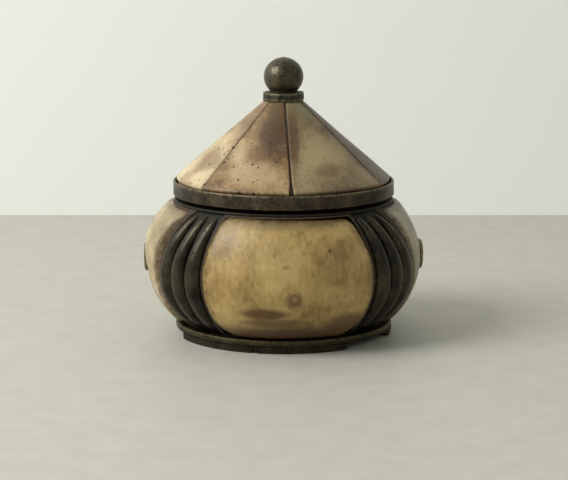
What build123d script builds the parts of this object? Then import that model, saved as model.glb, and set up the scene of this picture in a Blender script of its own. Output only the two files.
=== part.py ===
"""A lidded inkwell of bone plates on brass, about 69 mm tall.

A spun brass vessel holds the ink. Four bone panels, bedded in dark lac, and four brass corner
plates with three ribs each cover its bulge. It stands on a disc with five curved feet. The loose
lid is a brass tray filled with lac, which carries seven bone wedges, a collar and a ball finial.

Millimetres, +Z up. The origin is on the axis, in the plane that the feet stand on. The wide
front panel faces -Y. Angles round the axis are measured from the front, positive towards +X.
"""

import math
import os

from build123d import *

# ---- driving dimensions -------------------------------------------------------------------
# body bulge, two tangent arcs that meet at the widest level
belly_radius = 34.15
belly_height = 18.5
upper_arc = 21.5

# foot
foot_height = 1.6
foot_width = 6.0
foot_sweep = 50.2
foot_starts = (-69.4, -18.0, 70.6, 122.0, 173.4)
disc_radius = 27.1
disc_thickness = 1.65

# layers of the body, from the outside to the inside
bone_thickness = 3.0
lac_thickness = 0.45
vessel_wall = 0.8
plate_sink = 1.1
lac_sink = 0.7

# bone panels: half widths at the foot, at the belly and at the shoulder
front_half_widths = (15.0, 20.4, 14.6)
side_half_widths = (10.0, 12.8, 15.0)
panel_foot_gap = 0.5
panel_top_gap = 0.35
panel_corner = 1.4
front_lac_margin = 0.5
side_lac_margin = 1.4

# corner ribs: share of the room that one rib takes, and height over the plate, at end and belly
ribs_per_corner = 3
rib_end_share = 0.55
rib_belly_share = 0.93
rib_end_height = 0.8
rib_belly_height = 1.95
rib_root = 1.0
rib_foot_gap = 1.7
rib_top_gap = 0.8
rib_levels = 7

# neck
neck_top = 34.0
neck_thickness = 0.7
neck_radius = 27.2
seat_width = 1.5
seat_height = 1.0

# side studs
stud_height = 19.3
stud_radius = 3.7
stud_stand = 0.9
stud_bevel = 0.4
pin_radius = 1.0
pin_length = 2.3
pin_clearance = 0.05
pin_hole_depth = 2.5

# lid tray
rim_radius = 27.5
rim_wall = 0.6
rim_height = 3.4
floor_thickness = 0.8
flange_clearance = 0.3
flange_wall = 0.8
flange_depth = 4.0

# bone cone of the lid
cone_gap = 0.3
cone_stand = 0.5
cone_slope = 41.4
wedge_thickness = 2.2
wedge_skirt = 1.7
wedge_flatness = 0.45
wedge_tip_wall = 1.2
seam_width = 0.5
seam_sink = 0.25
seam_angles = (-49.4, 1.8, 59.6, 109.8, 160.0, 210.2, 260.4)

# finial
collar_radius = 5.07
collar_height = 2.2
collar_overhang = 0.22
ball_radius = 4.91
ball_neck_radius = 3.4
ball_neck_height = 0.25
rod_radius = 1.5
rod_clearance = 0.05
rove_radius = 3.6
rove_thickness = 0.5
peen_radius = 2.4
peen_height = 0.9

# ---- derived levels and radii -------------------------------------------------------------
disc_top = foot_height + disc_thickness
vessel_inset = bone_thickness + lac_thickness
plate_bottom = neck_top - neck_thickness
seat_top = neck_top + seat_height
rim_top = seat_top + rim_height
floor_top = seat_top + floor_thickness
panel_foot = disc_top + panel_foot_gap
panel_top = plate_bottom - panel_top_gap
# the vessel's lower arc runs tangent into its flat floor on the disc
lower_arc = belly_height - disc_top + vessel_inset
rim_inner_radius = rim_radius - rim_wall
cone_radius = rim_inner_radius - cone_gap
cone_foot = rim_top + cone_stand
cone_rise = math.tan(math.radians(cone_slope))
cone_top_radius = collar_radius - collar_overhang
cone_top = cone_foot + (cone_radius - cone_top_radius) * cone_rise
wedge_drop = wedge_thickness / math.cos(math.radians(cone_slope))
wedge_foot = cone_foot - wedge_skirt
rod_hole_radius = rod_radius + rod_clearance
core_tip_radius = rod_hole_radius + wedge_tip_wall
collar_top = cone_top + collar_height
ball_centre = collar_top + ball_neck_height + math.sqrt(ball_radius**2 - ball_neck_radius**2)
# working size of the cutting prisms, well outside the body
reach = 1.5 * belly_radius

os.makedirs("parts", exist_ok=True)


def save(piece, name):
    """Labels a finished piece and writes it under its name."""
    piece.part.label = name
    export_step(piece.part, f"parts/{name}.step")


def bulge_radius(inset, level):
    """Radius of the bulge at a level, for a surface that lies inset below the bone."""
    arc = lower_arc if level < belly_height else upper_arc
    centre = belly_radius - arc
    height = level - belly_height
    return centre + math.sqrt(max((arc - inset) ** 2 - height**2, 0))


def bulge(inset, foot=disc_top, top=plate_bottom):
    """Solid of revolution inside the bulge surface that lies inset below the bone."""
    def point(level):
        return (bulge_radius(inset, level), level)

    with BuildPart() as body:
        with BuildSketch(Plane.XZ):
            with BuildLine():
                Polyline((0, top), (0, foot), point(foot))
                ThreePointArc(point(foot), point((foot + belly_height) / 2), point(belly_height))
                ThreePointArc(point(belly_height), point((top + belly_height) / 2), point(top))
                Line(point(top), (0, top))
            make_face()
        revolve(axis=Axis.Z)
    return body.part


def facing_plane(angle, distance=0, level=0):
    """Plane that faces outwards at an angle from the front, with its own y axis upwards."""
    turn = math.radians(angle)
    outward = (math.sin(turn), -math.cos(turn), 0)
    sideways = (math.cos(turn), math.sin(turn), 0)
    origin = (outward[0] * distance, outward[1] * distance, level)
    return Plane(origin=origin, x_dir=sideways, z_dir=outward)


def half_width(widths, level):
    """Half width of a panel at a level, on the circle through its three half widths."""
    (x1, x2, x3), (z1, z2, z3) = widths, (panel_foot, belly_height, panel_top)
    chord = x1 + (x3 - x1) * (level - z1) / (z3 - z1)
    chord_belly = x1 + (x3 - x1) * (z2 - z1) / (z3 - z1)
    crown = (level - z1) * (z3 - level) / ((z2 - z1) * (z3 - z2))
    return chord + (x2 - chord_belly) * crown


def panel_prism(angle, widths, margin, foot, top, corner):
    """Prism that cuts one panel, or the lac bed round it, out of the bulge."""
    levels = [foot + (top - foot) * step / 4 for step in range(5)]
    right = [(half_width(widths, level) + margin, level) for level in levels]
    left = [(-x, z) for x, z in right]
    with BuildPart() as prism:
        with BuildSketch(facing_plane(angle)) as outline:
            with BuildLine():
                Spline(*right)
                Spline(*left)
                Line(left[0], right[0])
                Line(left[-1], right[-1])
            make_face()
            if corner:
                fillet(outline.vertices(), corner)
        extrude(amount=reach)
    return prism.part


# ---- foot ---------------------------------------------------------------------------------
with BuildPart() as base_disc:
    with BuildSketch(Plane.XY.offset(foot_height)):
        Circle(disc_radius)
    extrude(amount=disc_thickness)
save(base_disc, "base_disc")


def foot_segment(start, sweep):
    """One curved foot, flush with the edge of the disc."""
    with BuildPart() as foot:
        with BuildSketch(Plane.XZ):
            with Locations((disc_radius - foot_width / 2, foot_height / 2)):
                Rectangle(foot_width, foot_height)
        revolve(axis=Axis.Z, revolution_arc=sweep)
    foot.part = foot.part.rotate(Axis.Z, start)
    return foot


for number, start in enumerate(foot_starts, 1):
    # a revolve starts at +X, which is 90 degrees round from the front
    save(foot_segment(start - 90, foot_sweep), f"foot_segment_{number}")

# ---- vessel -------------------------------------------------------------------------------
with BuildPart() as ink_vessel:
    add(bulge(vessel_inset))
    add(bulge(vessel_inset + vessel_wall, foot=disc_top + vessel_wall), mode=Mode.SUBTRACT)
save(ink_vessel, "ink_vessel")

# ---- bone panels in their lac beds ---------------------------------------------------------
panels = {
    "front": (0, front_half_widths, front_lac_margin),
    "right": (90, side_half_widths, side_lac_margin),
    "back": (180, front_half_widths, front_lac_margin),
    "left": (270, side_half_widths, side_lac_margin),
}
stud_sides = ("right", "left")
lac_prisms = {}


def stud_plane(side, depth):
    """Plane across a stud's pin, at a depth under the belly."""
    return facing_plane(panels[side][0], belly_radius - depth, stud_height)


def bone_blank(side):
    """Curved plate cut out of the bone layer, before its pin hole."""
    angle, widths, _ = panels[side]
    with BuildPart() as blank:
        add(bulge(0))
        add(bulge(bone_thickness), mode=Mode.SUBTRACT)
        add(panel_prism(angle, widths, 0, panel_foot, panel_top, panel_corner), mode=Mode.INTERSECT)
    return blank.part


for side, (angle, widths, margin) in panels.items():
    lac_prisms[side] = panel_prism(angle, widths, margin, disc_top - 1, plate_bottom + 1, 0)

for side in panels:
    blank = bone_blank(side)
    with BuildPart() as bone_panel:
        add(blank)
        if side in stud_sides:
            with BuildSketch(stud_plane(side, pin_hole_depth)):
                Circle(pin_radius + pin_clearance)
            extrude(amount=reach, mode=Mode.SUBTRACT)
    save(bone_panel, f"bone_panel_{side}")

    with BuildPart() as lac_bed:
        add(bulge(lac_sink))
        add(bulge(vessel_inset), mode=Mode.SUBTRACT)
        add(lac_prisms[side], mode=Mode.INTERSECT)
        add(blank, mode=Mode.SUBTRACT)
        if side in stud_sides:
            # a narrow panel's bed stops at the beds of the wide panels
            add(lac_prisms["front"], mode=Mode.SUBTRACT)
            add(lac_prisms["back"], mode=Mode.SUBTRACT)
    save(lac_bed, f"lac_bed_{side}")

# ---- side studs ----------------------------------------------------------------------------
for side in stud_sides:
    with BuildPart() as side_stud:
        with BuildSketch(stud_plane(side, stud_stand)):
            Circle(stud_radius)
        extrude(amount=2 * stud_stand)
        outward = Axis((0, 0, 0), facing_plane(panels[side][0]).z_dir)
        chamfer(side_stud.faces().sort_by(outward)[-1].edges(), stud_bevel)
        add(bulge(0), mode=Mode.SUBTRACT)
        with BuildSketch(stud_plane(side, pin_length)):
            Circle(pin_radius)
        extrude(amount=pin_length + stud_stand / 2)
    save(side_stud, f"side_stud_{side}")

# ---- corner plates and their ribs ----------------------------------------------------------
# each corner lies between a wide panel and a narrow one: (name, wide side, narrow side, turn)
corners = [
    ("front_right", "front", "right", 0, 1),
    ("back_right", "back", "right", 180, -1),
    ("back_left", "back", "left", 180, 1),
    ("front_left", "front", "left", 0, -1),
]
rib_low = disc_top + rib_foot_gap
rib_high = plate_bottom - rib_top_gap


def rib_station(index, level):
    """Angle of a rib's middle from its wide panel, and half the angle that it covers."""
    radius = bulge_radius(plate_sink, level)
    near = math.asin((half_width(front_half_widths, level) + front_lac_margin) / radius)
    far = math.acos((half_width(side_half_widths, level) + side_lac_margin) / radius)
    pitch = (far - near) / ribs_per_corner
    along = (level - rib_low) / (rib_high - rib_low)
    swell = math.sin(math.pi * along) ** 0.7
    share = rib_end_share + (rib_belly_share - rib_end_share) * swell
    height = rib_end_height + (rib_belly_height - rib_end_height) * swell
    return near + pitch * (index + 0.5), pitch * share / 2, height


def corner_rib(index, turn, hand):
    """One crescent rib, lofted through level sections and seated on its plate."""
    def place(angle, radius):
        bearing = math.radians(turn) + hand * angle
        return (radius * math.sin(bearing), -radius * math.cos(bearing))

    with BuildPart() as rib:
        for step in range(rib_levels):
            level = rib_low + (rib_high - rib_low) * step / (rib_levels - 1)
            middle, half, height = rib_station(index, level)
            radius = bulge_radius(plate_sink, level)
            first, last = place(middle - half, radius), place(middle + half, radius)
            inner_first = place(middle - half, radius - rib_root)
            inner_last = place(middle + half, radius - rib_root)
            with BuildSketch(Plane.XY.offset(level)):
                with BuildLine():
                    ThreePointArc(first, place(middle, radius + height), last)
                    Polyline(last, inner_last, inner_first, first)
                make_face()
        loft()
        add(bulge(plate_sink), mode=Mode.SUBTRACT)
    return rib


for name, wide, narrow, turn, hand in corners:
    with BuildPart() as corner_plate:
        add(bulge(plate_sink))
        add(bulge(vessel_inset), mode=Mode.SUBTRACT)
        with BuildSketch(Plane.XY):
            with BuildLine():
                ahead = facing_plane(turn).z_dir * reach
                aside = facing_plane(turn + hand * 90).z_dir * reach
                Polyline((0, 0), (ahead.X, ahead.Y), (ahead.X + aside.X, ahead.Y + aside.Y),
                         (aside.X, aside.Y), close=True)
            make_face()
        extrude(amount=neck_top, mode=Mode.INTERSECT)
        add(lac_prisms[wide], mode=Mode.SUBTRACT)
        add(lac_prisms[narrow], mode=Mode.SUBTRACT)
    save(corner_plate, f"corner_plate_{name}")
    for index in range(ribs_per_corner):
        save(corner_rib(index, turn, hand), f"rib_{name}_{index + 1}")

# ---- neck ----------------------------------------------------------------------------------
mouth_radius = bulge_radius(vessel_inset + vessel_wall, plate_bottom)

with BuildPart() as neck_plate:
    with BuildSketch(Plane.XY.offset(plate_bottom)):
        Circle(neck_radius)
        Circle(mouth_radius, mode=Mode.SUBTRACT)
    extrude(amount=neck_thickness)
save(neck_plate, "neck_plate")

with BuildPart() as lid_seat:
    with BuildSketch(Plane.XY.offset(neck_top)):
        Circle(mouth_radius + seat_width)
        Circle(mouth_radius, mode=Mode.SUBTRACT)
    extrude(amount=seat_height)
save(lid_seat, "lid_seat")

# ---- lid tray ------------------------------------------------------------------------------
with BuildPart() as lid_floor:
    with BuildSketch(Plane.XY.offset(seat_top)):
        Circle(rim_inner_radius)
        Circle(rod_hole_radius, mode=Mode.SUBTRACT)
    extrude(amount=floor_thickness)
save(lid_floor, "lid_floor")

with BuildPart() as lid_rim:
    with BuildSketch(Plane.XY.offset(seat_top)):
        Circle(rim_radius)
        Circle(rim_inner_radius, mode=Mode.SUBTRACT)
    extrude(amount=rim_height)
save(lid_rim, "lid_rim")

flange_radius = mouth_radius - flange_clearance
with BuildPart() as lid_flange:
    with BuildSketch(Plane.XY.offset(seat_top - flange_depth)):
        Circle(flange_radius)
        Circle(flange_radius - flange_wall, mode=Mode.SUBTRACT)
    extrude(amount=flange_depth)
save(lid_flange, "lid_flange")


# ---- lac core and bone wedges of the lid ---------------------------------------------------
def under_wedge(radius):
    """Level of the wedges' underside at a radius."""
    return cone_foot - wedge_drop + (cone_radius - radius) * cone_rise


foot_inner_radius = cone_radius - (wedge_foot - cone_foot + wedge_drop) / cone_rise

with BuildPart() as cone_core:
    with BuildSketch(Plane.XZ):
        Polygon(
            (0, floor_top),
            (rim_inner_radius, floor_top),
            (rim_inner_radius, wedge_foot),
            (foot_inner_radius, wedge_foot),
            (core_tip_radius, under_wedge(core_tip_radius)),
            (core_tip_radius, cone_top),
            (0, cone_top),
            align=None,
        )
    revolve(axis=Axis.Z)


def wedge_corners(start, stop, inset, radius):
    """First, crown and last point of a wedge's outer edge, and its inner tip."""
    middle, half = math.radians((start + stop) / 2), math.radians((stop - start) / 2)
    apex = inset / math.sin(half)

    def place(angle, out, shift):
        x = out * math.sin(angle) + shift * math.sin(middle)
        return (x, -out * math.cos(angle) - shift * math.cos(middle))

    flat = wedge_flatness * radius * (1 - math.cos(half))
    run = radius - apex * math.cos(half)
    return [
        place(middle - half, run, apex),
        place(middle, radius - flat, 0),
        place(middle + half, run, apex),
        place(middle, 0, apex),
    ]


def wedge_blank(start, stop, inset):
    """Wedge between two seams, with an outer face that is flatter than a cone."""
    with BuildPart() as blank:
        for level, radius in ((cone_foot, cone_radius), (cone_top, cone_top_radius)):
            first, crown, last, tip = wedge_corners(start, stop, inset, radius)
            with BuildSketch(Plane.XY.offset(level)):
                with BuildLine():
                    ThreePointArc(first, crown, last)
                    Polyline(last, tip, first)
                make_face()
        loft(ruled=True)
        skirt = blank.faces().sort_by(Axis.Z)[0]
        extrude(skirt, amount=cone_foot - wedge_foot)
    return blank.part


seam_ends = [*seam_angles[1:], seam_angles[0] + 360]
for number, (start, stop) in enumerate(zip(seam_angles, seam_ends), 1):
    with BuildPart() as bone_wedge:
        add(wedge_blank(start, stop, seam_width / 2))
        add(cone_core.part, mode=Mode.SUBTRACT)
    save(bone_wedge, f"bone_wedge_{number}")

with BuildPart() as lid_core:
    add(cone_core.part)
    for angle in seam_angles:
        side_plane = facing_plane(angle + 90, -seam_width / 2)
        with BuildSketch(side_plane):
            Polygon(
                (0, floor_top),
                (-cone_radius + seam_sink, floor_top),
                (-cone_radius + seam_sink, cone_foot - seam_sink),
                (-cone_top_radius, cone_top - seam_sink),
                (0, cone_top - seam_sink),
                align=None,
            )
        extrude(amount=seam_width)
    with BuildSketch(Plane.XY.offset(floor_top)):
        Circle(rod_hole_radius)
    extrude(amount=cone_top, mode=Mode.SUBTRACT)
save(lid_core, "lid_core")

# ---- finial --------------------------------------------------------------------------------
with BuildPart() as finial_collar:
    with BuildSketch(Plane.XY.offset(cone_top)):
        Circle(collar_radius)
        Circle(rod_hole_radius, mode=Mode.SUBTRACT)
    extrude(amount=collar_height)
save(finial_collar, "finial_collar")

rove_bottom = seat_top - rove_thickness
with BuildPart() as finial:
    with BuildSketch(Plane.XY.offset(collar_top)):
        Circle(ball_neck_radius)
    extrude(amount=ball_neck_height + ball_radius - ball_neck_radius)
    with Locations((0, 0, ball_centre)):
        Sphere(ball_radius)
    split(bisect_by=Plane.XY.offset(collar_top), keep=Keep.TOP)
    with BuildSketch(Plane.XY.offset(rove_bottom - peen_height)):
        Circle(peen_radius)
    extrude(amount=peen_height)
    with BuildSketch(Plane.XY.offset(rove_bottom - peen_height)):
        Circle(rod_radius)
    extrude(amount=ball_centre - rove_bottom + peen_height)
save(finial, "finial")

with BuildPart() as finial_rove:
    with BuildSketch(Plane.XY.offset(rove_bottom)):
        Circle(rove_radius)
        Circle(rod_hole_radius, mode=Mode.SUBTRACT)
    extrude(amount=rove_thickness)
save(finial_rove, "finial_rove")
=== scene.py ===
# %% [markdown]
# # An inkwell of bone plates on aged brass
# The real pot is a spun brass vessel. Four curved bone panels lie on its bulge in dark lac, and
# brass plates with crescent ribs cover the corners between them. The loose lid is a brass tray
# of lac that carries seven bone wedges, a collar and a ball. The construction and its sizes come
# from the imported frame, so this lesson only gives each piece its fine shape and its finish.

# %% Load the frame
import math

import bmesh
import bpy
from mathutils import Matrix, Vector, noise


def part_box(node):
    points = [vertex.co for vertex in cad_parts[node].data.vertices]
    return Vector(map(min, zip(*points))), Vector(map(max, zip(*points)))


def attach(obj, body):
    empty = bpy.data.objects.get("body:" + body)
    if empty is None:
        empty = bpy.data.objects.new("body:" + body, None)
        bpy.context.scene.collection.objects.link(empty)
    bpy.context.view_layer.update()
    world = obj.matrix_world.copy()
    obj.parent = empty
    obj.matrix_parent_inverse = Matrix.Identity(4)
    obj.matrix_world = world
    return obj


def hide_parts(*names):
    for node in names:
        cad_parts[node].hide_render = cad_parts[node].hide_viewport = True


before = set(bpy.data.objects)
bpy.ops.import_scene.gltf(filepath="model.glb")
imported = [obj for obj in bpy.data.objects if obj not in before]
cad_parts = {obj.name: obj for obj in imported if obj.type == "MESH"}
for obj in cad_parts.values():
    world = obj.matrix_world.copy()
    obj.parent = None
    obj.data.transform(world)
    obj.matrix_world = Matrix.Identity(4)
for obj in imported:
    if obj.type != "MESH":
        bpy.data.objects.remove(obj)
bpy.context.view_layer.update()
MM = 0.001

# %% [markdown]
# ## Camera
# A long lens from half a metre keeps the pot's ellipses flat. The camera stands a little to the
# left of the front panel's middle, so that panel turns slightly to the right.

# %% Camera
VIEW_TURN = math.radians(-2.4)
CAMERA_DISTANCE = 0.5
CAMERA_HEIGHT = 0.11445
CAMERA_PITCH = math.radians(10.37)


def turned_about_axis(x, y, z):
    """A point given in the camera's own heading, turned into the pot's frame."""
    return Matrix.Rotation(VIEW_TURN, 3, "Z") @ Vector((x, y, z))


camera_data = bpy.data.cameras.new("camera")
camera_data.sensor_width = 36
camera_data.lens = 128.45
camera = bpy.data.objects.new("camera", camera_data)
camera.location = turned_about_axis(0.0001, -CAMERA_DISTANCE, CAMERA_HEIGHT)
camera.rotation_euler = (math.radians(90) - CAMERA_PITCH, 0, VIEW_TURN)
bpy.context.scene.collection.objects.link(camera)
bpy.context.scene.camera = camera
bpy.context.scene.view_settings.view_transform = "Standard"
print("camera at", tuple(round(v, 4) for v in camera.location))

# %% [markdown]
# ## Small helpers
# Every colour is written as a hex value, as a designer would pick it, and one function turns it
# into the linear values that the renderer adds light in. One function adds a node.

# %% Colour and node helpers


def colour(hex_value):
    """Linear colour with alpha from an sRGB hex value."""
    channels = [int(hex_value[i:i + 2], 16) / 255 for i in (1, 3, 5)]
    linear = [c / 12.92 if c <= 0.04045 else ((c + 0.055) / 1.055) ** 2.4 for c in channels]
    return (*linear, 1)


def add(tree, kind, inputs=None, **settings):
    """Adds a node, sets it up, and fills or links its inputs."""
    node = tree.nodes.new(kind)
    for key, value in settings.items():
        setattr(node, key, value)
    for key, value in (inputs or {}).items():
        if isinstance(value, bpy.types.NodeSocket):
            tree.links.new(value, node.inputs[key])
        else:
            node.inputs[key].default_value = value
    return node


def new_material(name):
    """An empty material: its tree, its shader and its output link are ready."""
    material = bpy.data.materials.new(name)
    material.use_nodes = True
    return material, material.node_tree, material.node_tree.nodes["Principled BSDF"]


print("pure white is", colour("#ffffff"))

# %% [markdown]
# ## Floor, backdrop and light
# The pot stands on a pale stone shelf in front of a pale wall. The wall is seen from its front
# only, so that it does not hide the pot in a view from behind. One large soft lamp at the upper
# left stands for a window, and an even pale world fills the shadows.

# %% Floor and backdrop
WALL_BEHIND = 0.172
stage_tones = {"floor": ("#aeac9f", "#c2c0b3"), "wall": ("#eff1e8", "#f6f7f0")}


def stage_material(name, tones, scale, back_clear):
    """A pale plain surface with faint cloudy tone."""
    material, tree, shader = new_material(name)
    place = add(tree, "ShaderNodeTexCoord").outputs["Object"]
    cloud = add(tree, "ShaderNodeTexNoise", {"Vector": place, "Scale": scale, "Detail": 6.0})
    tone = add(tree, "ShaderNodeMix", {0: cloud.outputs["Fac"], 6: colour(tones[0]), 7: colour(tones[1])},
               data_type="RGBA")
    tree.links.new(tone.outputs[2], shader.inputs["Base Color"])
    shader.inputs["Roughness"].default_value = 0.55 if name == "floor" else 0.9
    if back_clear:
        facing = add(tree, "ShaderNodeNewGeometry").outputs["Backfacing"]
        clear = add(tree, "ShaderNodeBsdfTransparent")
        both = add(tree, "ShaderNodeMixShader", {0: facing, 1: shader.outputs[0], 2: clear.outputs[0]})
        tree.links.new(both.outputs[0], tree.nodes["Material Output"].inputs["Surface"])
    return material


def stage_sheet(name, corners, material):
    """One large flat sheet of the stage."""
    mesh = bpy.data.meshes.new(name)
    mesh.from_pydata([turned_about_axis(*corner) for corner in corners], [], [(0, 1, 2, 3)])
    mesh.materials.append(material)
    sheet = bpy.data.objects.new(name, mesh)
    bpy.context.scene.collection.objects.link(sheet)


stage_sheet("floor", [(-3, -3, 0), (3, -3, 0), (3, 3, 0), (-3, 3, 0)],
            stage_material("floor", stage_tones["floor"], 140, False))
stage_sheet("wall", [(-3, WALL_BEHIND, 0), (3, WALL_BEHIND, 0),
                     (3, WALL_BEHIND, 2), (-3, WALL_BEHIND, 2)],
            stage_material("wall", stage_tones["wall"], 9, True))
print("stage ready")

# %% Lamps and world
lamps = {
    "window": ((-0.7, -0.28, 0.6), 0.6, 9.0, "#fbfcff"),
    "room": ((0.7, -0.6, 0.5), 0.7, 0.2, "#f4f6ff"),
}
for name, (place, size, power, tint) in lamps.items():
    lamp = bpy.data.lights.new(name, "AREA")
    lamp.shape, lamp.size, lamp.energy, lamp.color = "DISK", size, power, colour(tint)[:3]
    holder = bpy.data.objects.new(name, lamp)
    holder.location = place
    aim = Vector((0, 0, 0.03)) - holder.location
    holder.rotation_euler = aim.to_track_quat("-Z", "Y").to_euler()
    bpy.context.scene.collection.objects.link(holder)

world = bpy.data.worlds.new("pale_room")
bpy.context.scene.world = world
world.use_nodes = True
world.node_tree.nodes["Background"].inputs["Color"].default_value = colour("#f3f4ef")
world.node_tree.nodes["Background"].inputs["Strength"].default_value = 0.44
print("lamps", list(lamps))

# %% [markdown]
# ## Sizes
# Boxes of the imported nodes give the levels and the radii. Only the shape of the bulge, two
# arcs that meet at its widest level, is stated again here, in millimetres.

# %% Sizes from the frame


def span(node):
    """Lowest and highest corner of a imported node, in millimetres."""
    low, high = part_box(node)
    return Vector(low) / MM, Vector(high) / MM


belly_radius = -span("bone_panel_front")[0].y
disc_top = span("base_disc")[1].z
foot_height = span("base_disc")[0].z
plate_bottom, neck_top = span("neck_plate")[0].z, span("neck_plate")[1].z
rim_low, rim_top = span("lid_rim")[0].z, span("lid_rim")[1].z
panel_foot, panel_top = span("bone_panel_front")[0].z, span("bone_panel_front")[1].z
collar_low, collar_top = span("finial_collar")[0].z, span("finial_collar")[1].z
ball_top = span("finial")[1].z
disc_radius, rim_radius = span("base_disc")[1].x, span("lid_rim")[1].x
neck_radius, collar_radius = span("neck_plate")[1].x, span("finial_collar")[1].x
ball_radius = span("finial")[1].x
wedge_foot = span("bone_wedge_1")[0].z

belly_height = 18.5
bone_thickness = 3.0
lac_thickness = 0.45
upper_arc = 21.5
lower_arc = belly_height - disc_top + bone_thickness + lac_thickness
plate_sink = 1.1


def bulge_radius(inset, level):
    """Radius of the bulge at a level, for a surface that lies inset below the bone."""
    arc = lower_arc if level < belly_height else upper_arc
    height = level - belly_height
    return belly_radius - arc + math.sqrt(max((arc - inset) ** 2 - height**2, 0))


print("belly radius", round(belly_radius, 2), "ball top", round(ball_top, 2))

# %% [markdown]
# ## Closed plates from two surfaces
# A panel, a wedge and a rib are all a curved plate: an outer surface over two parameters, an
# inner one, and a wall round the rim. One helper builds that closed mesh. It also stores how
# near each point is to a worn or grimy edge, which the finishes read.

# %% Mesh helpers
SHARP_ANGLE = math.radians(55)
MERGE_DISTANCE = 0.002 * MM
END_GATHER = 0.65
WIDE_WAVE, FINE_WAVE = 0.11, 0.45
SEED_STRIDE = 70


def finish_mesh(name, points, faces, near_edge):
    """Makes a smooth closed mesh with outward faces and its near_edge values."""
    mesh = bpy.data.meshes.new(name)
    mesh.from_pydata([Vector(point) * MM for point in points], [], faces)
    attribute = mesh.attributes.new("near_edge", "FLOAT", "POINT")
    attribute.data.foreach_set("value", near_edge)
    work = bmesh.new()
    work.from_mesh(mesh)
    bmesh.ops.remove_doubles(work, verts=work.verts, dist=MERGE_DISTANCE)
    bmesh.ops.recalc_face_normals(work, faces=work.faces)
    work.to_mesh(mesh)
    work.free()
    mesh.shade_smooth()
    mesh.set_sharp_from_angle(angle=SHARP_ANGLE)
    piece = bpy.data.objects.new(name, mesh)
    bpy.context.scene.collection.objects.link(piece)
    return piece


def ease(t):
    """Spreads samples so that they gather at both ends, where the edges are rounded."""
    return (1 - END_GATHER) * t + END_GATHER * (0.5 - 0.5 * math.cos(math.pi * t))


def plate_faces(columns, rows, start=0):
    """Faces of an outer grid, an inner grid and the wall that joins their rims."""
    layer = (columns + 1) * (rows + 1)
    faces = []

    def at(i, j, side):
        return start + side * layer + i * (rows + 1) + j

    for i in range(columns):
        for j in range(rows):
            corners = [(i, j), (i + 1, j), (i + 1, j + 1), (i, j + 1)]
            faces.append([at(*c, 0) for c in corners])
            faces.append([at(*c, 1) for c in reversed(corners)])
    for i in range(columns):
        for j in (0, rows):
            faces.append([at(i, j, 0), at(i, j, 1), at(i + 1, j, 1), at(i + 1, j, 0)])
    for j in range(rows):
        for i in (0, columns):
            faces.append([at(i, j, 0), at(i, j + 1, 0), at(i, j + 1, 1), at(i, j, 1)])
    return faces


def plate_points(outer, inner, columns, rows):
    """Points of both surfaces, and the near_edge value of each."""
    points, near = [], []
    for surface in (outer, inner):
        for i in range(columns + 1):
            for j in range(rows + 1):
                *point, edge = surface(ease(i / columns), ease(j / rows))
                points.append(point)
                near.append(edge)
    return points, near


def roll_over(distance, radius):
    """How far a rounded edge has dropped at a distance from its outline."""
    if distance >= radius:
        return 0
    return radius - math.sqrt(max(radius**2 - (radius - max(distance, 0)) ** 2, 0))


def hand_work(x, y, z, seed, wide, fine):
    """Unevenness in millimetres left by filing: wide soft dips and finer ripples."""
    place = Vector((x, y, z + SEED_STRIDE * seed))
    return wide * noise.noise(place * WIDE_WAVE) + fine * noise.noise(place * FINE_WAVE)


print("mesh helpers ready")

# %% [markdown]
# ## Bone panels
# Each panel was sawn from a long bone and filed to the bulge by hand. So it follows the bulge
# with soft dips, its lower corners are rounder than its upper ones, and its edges roll over.
# The upper edges also fall a little to one side, and the left panel's shoulder is fuller.

# %% Bone panels
FRONT_WIDTHS = (15.0, 20.4, 14.6)
SIDE_WIDTHS = (10.0, 12.8, 15.0)
PANEL_EDGE = 0.6
PANEL_FOOT_CORNER, PANEL_TOP_CORNER = 4.4, 1.6
GRIME_REACH = 3.0
PANEL_BACK_GAP = 0.1
SHOULDER_START = 0.45
PANEL_LUMPS = (0.16, 0.05)
PANEL_COLUMNS, PANEL_ROWS = 110, 90


def half_width(widths, level):
    """Half width of a panel at a level, on the curve through its three half widths."""
    (x1, x2, x3), (z1, z2, z3) = widths, (panel_foot, belly_height, panel_top)
    share = (level - z1) / (z3 - z1)
    belly_share = (z2 - z1) / (z3 - z1)
    crown = (level - z1) * (z3 - level) / ((z2 - z1) * (z3 - z2))
    return x1 + (x3 - x1) * share + (x2 - x1 - (x3 - x1) * belly_share) * crown


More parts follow.
